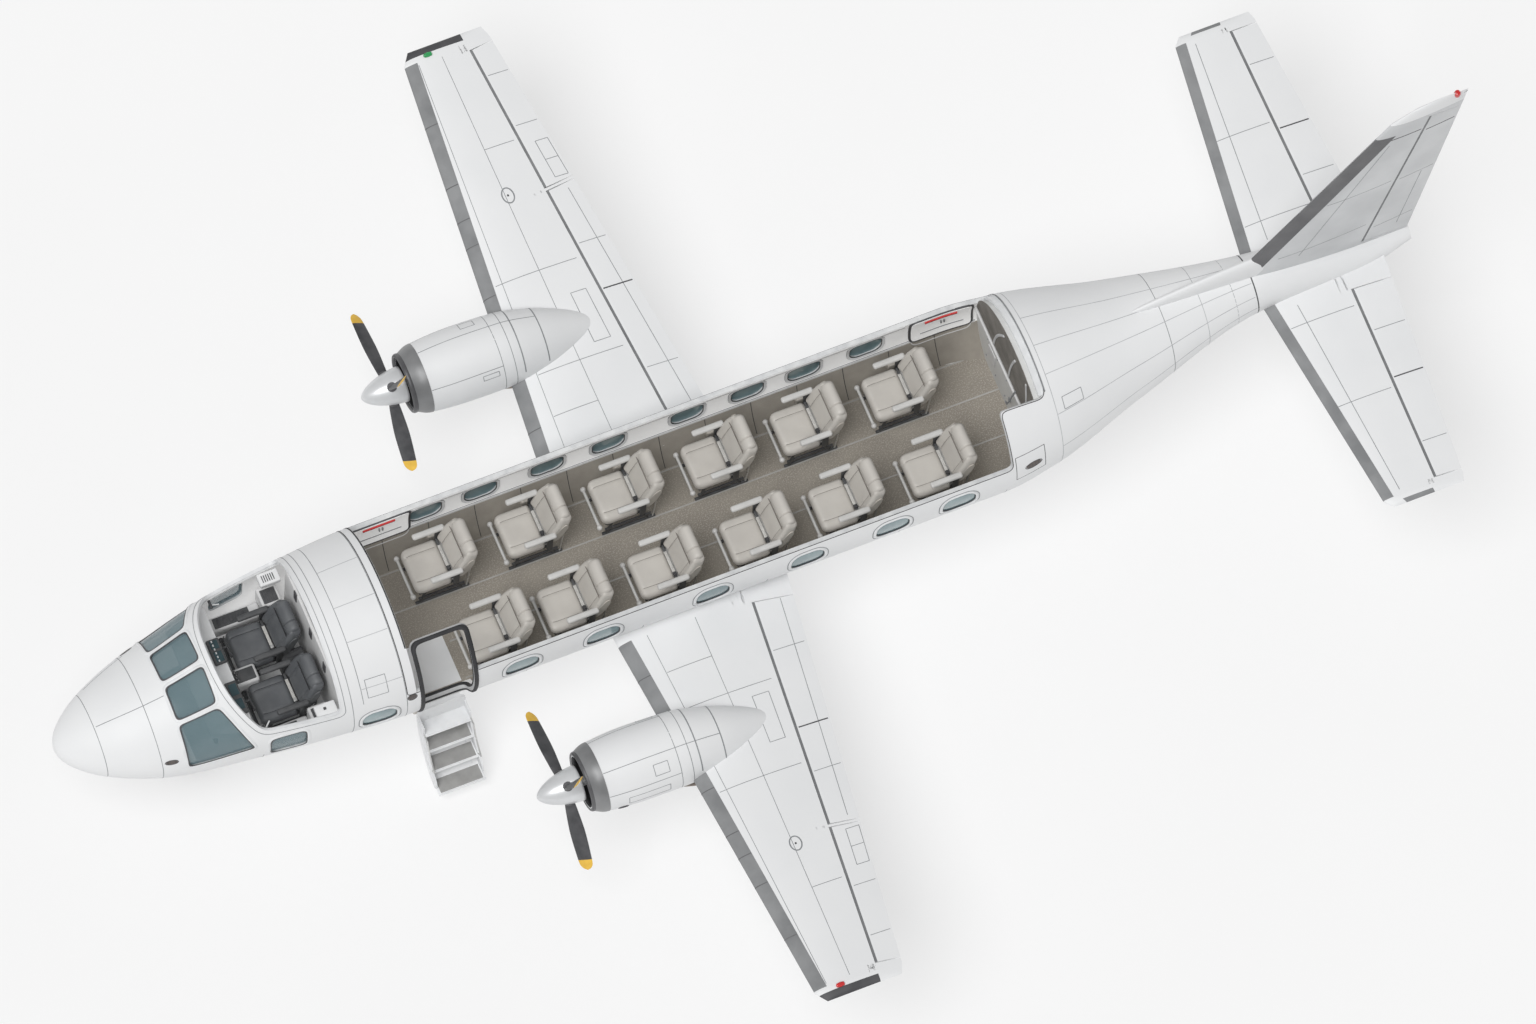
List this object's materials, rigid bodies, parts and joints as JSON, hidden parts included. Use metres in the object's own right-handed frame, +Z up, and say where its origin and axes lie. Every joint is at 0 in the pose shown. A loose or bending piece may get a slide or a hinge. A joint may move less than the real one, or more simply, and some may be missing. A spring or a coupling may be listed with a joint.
{
  "type": "turboprop airliner",
  "caption": "Low-wing commuter turboprop airliner with the cabin and cockpit roof cut away, seats inside, an airstair door hanging open, turning propellers and hinged control surfaces",
  "frame": {"origin": "on the ground, under the middle of the bounding box", "axes": "+X towards the nose, +Y to port, +Z up"},
  "size_m": [15.72, 11.46, 5.43],
  "materials": {
    "white_paint": "gloss",
    "white_composite": "gloss",
    "clear_glass": "polished",
    "carpet": "matte",
    "grey_plastic": "matte",
    "black_seal": "matte",
    "beige_leather": "satin",
    "dark_leather": "satin",
    "engine_metal": "satin",
    "blade_black": "satin",
    "gear_metal": "satin",
    "tyre_rubber": "matte"
  },
  "bodies": {
    "airframe": {"nose_cone": "white_paint", "cockpit_shell": "white_paint", "windshield_glass": "clear_glass", "side_window_left": "clear_glass", "side_window_right": "clear_glass", "forward_barrel": "white_paint", "cabin_shell": "white_paint", "aft_fuselage": "white_paint", "cabin_floor": "carpet", "cockpit_floor": "grey_plastic", "entry_floor": "grey_plastic", "aft_bulkhead": "grey_plastic", "exit_hatch_front": "white_paint", "exit_hatch_rear": "white_paint", "instrument_panel": "grey_plastic", "seat_1_left": "beige_leather", "seat_1_right": "beige_leather", "seat_2_left": "beige_leather", "seat_2_right": "beige_leather", "seat_3_left": "beige_leather", "seat_3_right": "beige_leather", "seat_4_left": "beige_leather", "seat_4_right": "beige_leather", "seat_5_left": "beige_leather", "seat_5_right": "beige_leather", "seat_6_left": "beige_leather", "seat_6_right": "beige_leather", "crew_seat_left": "dark_leather", "crew_seat_right": "dark_leather", "door_frame": "black_seal", "wing_left": "white_paint", "wing_right": "white_paint", "nacelle_left": "white_paint", "engine_left": "engine_metal", "nacelle_right": "white_paint", "engine_right": "engine_metal", "tailplane_left": "white_composite", "tailplane_right": "white_composite", "fin": "white_composite", "main_leg_left": "gear_metal", "main_leg_right": "gear_metal", "nose_leg": "gear_metal"},
    "airstair_door": {"airstair_door": "white_paint"},
    "propeller_left": {"propeller_left": "blade_black"},
    "propeller_right": {"propeller_right": "blade_black"},
    "nose_steering": {"nose_fork": "gear_metal"},
    "nose_wheels": {"nose_wheel_left": "tyre_rubber", "nose_wheel_right": "tyre_rubber"},
    "main_wheel_left": {"main_wheel_left": "tyre_rubber"},
    "main_wheel_right": {"main_wheel_right": "tyre_rubber"},
    "flap_left": {"flap_left": "white_paint"},
    "aileron_left": {"aileron_left": "white_paint"},
    "elevator_left": {"elevator_left": "white_composite"},
    "flap_right": {"flap_right": "white_paint"},
    "aileron_right": {"aileron_right": "white_paint"},
    "elevator_right": {"elevator_right": "white_composite"},
    "rudder": {"rudder": "white_composite"}
  },
  "joints": [
    {"name": "airstair_hinge", "type": "hinge", "parent": "airframe", "child": "airstair_door", "pos_m": [3.845, 0.785, 1.162], "axis": [1, 0, 0], "range_deg": [0, 145]},
    {"name": "propeller_left_spin", "type": "hinge", "parent": "airframe", "child": "propeller_left", "pos_m": [3.12, 2.41, 1.76], "axis": [1, 0, 0], "continuous": true},
    {"name": "propeller_right_spin", "type": "hinge", "parent": "airframe", "child": "propeller_right", "pos_m": [3.12, -2.41, 1.76], "axis": [1, 0, 0], "continuous": true},
    {"name": "nose_steer", "type": "hinge", "parent": "airframe", "child": "nose_steering", "pos_m": [6.24, 0, 0.23], "axis": [0, 0, 1], "range_deg": [-50, 50]},
    {"name": "nose_wheel_spin", "type": "hinge", "parent": "nose_steering", "child": "nose_wheels", "pos_m": [6.24, 0, 0.23], "axis": [0, 1, 0], "continuous": true},
    {"name": "main_wheel_left_spin", "type": "hinge", "parent": "airframe", "child": "main_wheel_left", "pos_m": [0.78, 2.41, 0.36], "axis": [0, 1, 0], "continuous": true},
    {"name": "main_wheel_right_spin", "type": "hinge", "parent": "airframe", "child": "main_wheel_right", "pos_m": [0.78, -2.41, 0.36], "axis": [0, 1, 0], "continuous": true},
    {"name": "flap_left_hinge", "type": "hinge", "parent": "airframe", "child": "flap_left", "pos_m": [0.61469, 2.48, 1.60153], "axis": [-0.1062, -0.9821, -0.1553], "range_deg": [0, 35]},
    {"name": "aileron_left_hinge", "type": "hinge", "parent": "airframe", "child": "aileron_left", "pos_m": [0.85463, 4.7, 1.95265], "axis": [-0.1062, -0.9821, -0.1553], "range_deg": [-20, 20]},
    {"name": "elevator_left_hinge", "type": "hinge", "parent": "airframe", "child": "elevator_left", "pos_m": [-6.5544, 1.58, 2.15912], "axis": [-0.0178, -0.9995, -0.0257], "range_deg": [-25, 15]},
    {"name": "flap_right_hinge", "type": "hinge", "parent": "airframe", "child": "flap_right", "pos_m": [0.61469, -2.48, 1.60153], "axis": [0.1062, -0.9821, 0.1553], "range_deg": [0, 35]},
    {"name": "aileron_right_hinge", "type": "hinge", "parent": "airframe", "child": "aileron_right", "pos_m": [0.85463, -4.7, 1.95265], "axis": [0.1062, -0.9821, 0.1553], "range_deg": [-20, 20]},
    {"name": "elevator_right_hinge", "type": "hinge", "parent": "airframe", "child": "elevator_right", "pos_m": [-6.5544, -1.58, 2.15912], "axis": [0.0178, -0.9995, 0.0257], "range_deg": [-25, 15]},
    {"name": "rudder_hinge", "type": "hinge", "parent": "airframe", "child": "rudder", "pos_m": [-7.1417, 0, 3.735], "axis": [-0.2115, 0, 0.9774], "range_deg": [-25, 25]}
  ],
  "couplings": [
    {"joint": "flap_right_hinge", "follows": "flap_left_hinge", "ratio": 1},
    {"joint": "aileron_right_hinge", "follows": "aileron_left_hinge", "ratio": -1},
    {"joint": "elevator_right_hinge", "follows": "elevator_left_hinge", "ratio": 1}
  ]
}
